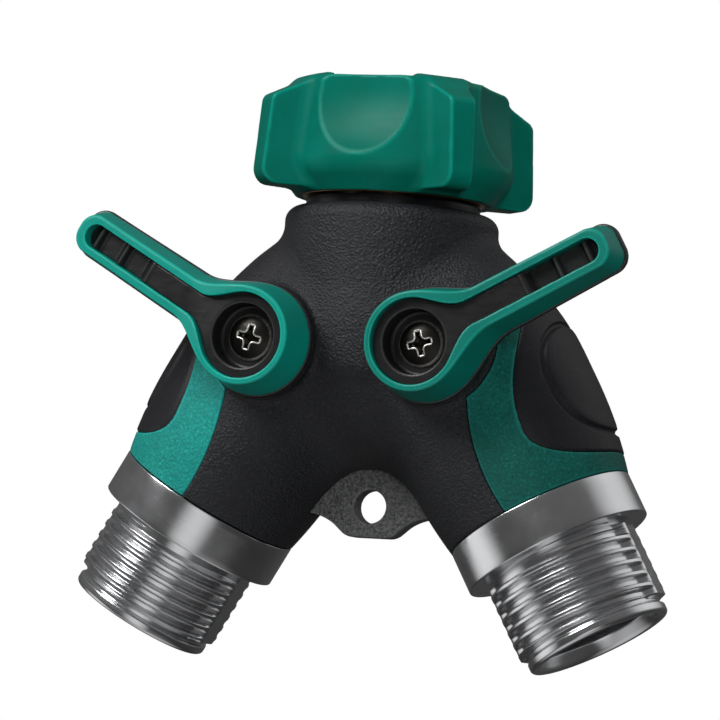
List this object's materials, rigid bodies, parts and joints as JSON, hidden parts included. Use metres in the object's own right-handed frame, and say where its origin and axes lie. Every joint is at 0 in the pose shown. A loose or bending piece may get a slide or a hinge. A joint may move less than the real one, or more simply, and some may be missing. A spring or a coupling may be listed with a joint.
{
  "type": "hose splitter",
  "caption": "Y-shaped garden hose splitter with a swivel nut inlet, threaded outlets, a quarter-turn lever valve in each leg and a hanging tab.",
  "frame": {"origin": "on the inlet axis, on the innermost turn of the inlet thread, level with the washer's face", "axes": "+Z along the inlet axis towards the tap, -Y towards the levers, the legs run down and out to -X and +X"},
  "size_m": [0.106, 0.0499, 0.0991],
  "materials": {
    "cast_body": "satin textured black coat",
    "black_grip": "grained soft-touch",
    "black_grip_smooth": "matte soft-touch",
    "green_grip": "grained soft-touch",
    "green_plastic": "satin moulded",
    "black_plastic": "satin moulded",
    "aluminium": "bright turned",
    "plated_metal": "plated",
    "brass": "machined",
    "chrome_ball": "polished",
    "white_seat": "smooth",
    "seal_rubber": "matte",
    "dark_screw": "black oxide, worn bright"
  },
  "bodies": {
    "manifold": {"manifold_core": "cast_body", "grip_shell": "black_grip", "side_panel_left": "green_grip", "side_panel_right": "green_grip", "thumb_pad_left": "black_grip_smooth", "thumb_pad_right": "black_grip_smooth", "inlet_tailpiece": "plated_metal", "tailpiece_o_ring": "seal_rubber", "outlet_fitting_left": "aluminium", "outlet_fitting_right": "aluminium", "outlet_o_ring_left": "seal_rubber", "outlet_o_ring_right": "seal_rubber", "ball_seat_inner_left": "white_seat", "ball_seat_inner_right": "white_seat", "ball_seat_outer_left": "white_seat", "ball_seat_outer_right": "white_seat"},
    "swivel_nut": {"nut_grip": "green_plastic", "nut_thread_insert": "brass", "inlet_washer": "seal_rubber"},
    "valve_left": {"valve_ball_left": "chrome_ball", "valve_stem_left": "brass", "stem_washer_left": "white_seat", "stem_o_ring_left": "seal_rubber", "lever_base_left": "black_plastic", "lever_shell_left": "green_plastic", "lever_insert_left": "black_plastic", "lever_screw_left": "dark_screw"},
    "valve_right": {"valve_ball_right": "chrome_ball", "valve_stem_right": "brass", "stem_washer_right": "white_seat", "stem_o_ring_right": "seal_rubber", "lever_base_right": "black_plastic", "lever_shell_right": "green_plastic", "lever_insert_right": "black_plastic", "lever_screw_right": "dark_screw"}
  },
  "joints": [
    {"name": "nut_spin", "type": "hinge", "parent": "manifold", "child": "swivel_nut", "pos_m": [0, 0, 0], "axis": [0, 0, 1], "continuous": true},
    {"name": "lever_left_turn", "type": "hinge", "parent": "manifold", "child": "valve_left", "pos_m": [-0.01517, 0, -0.03631], "axis": [0, -1, 0], "range_deg": [0, 90]},
    {"name": "lever_right_turn", "type": "hinge", "parent": "manifold", "child": "valve_right", "pos_m": [0.01517, 0, -0.03631], "axis": [0, 1, 0], "range_deg": [0, 90]}
  ]
}
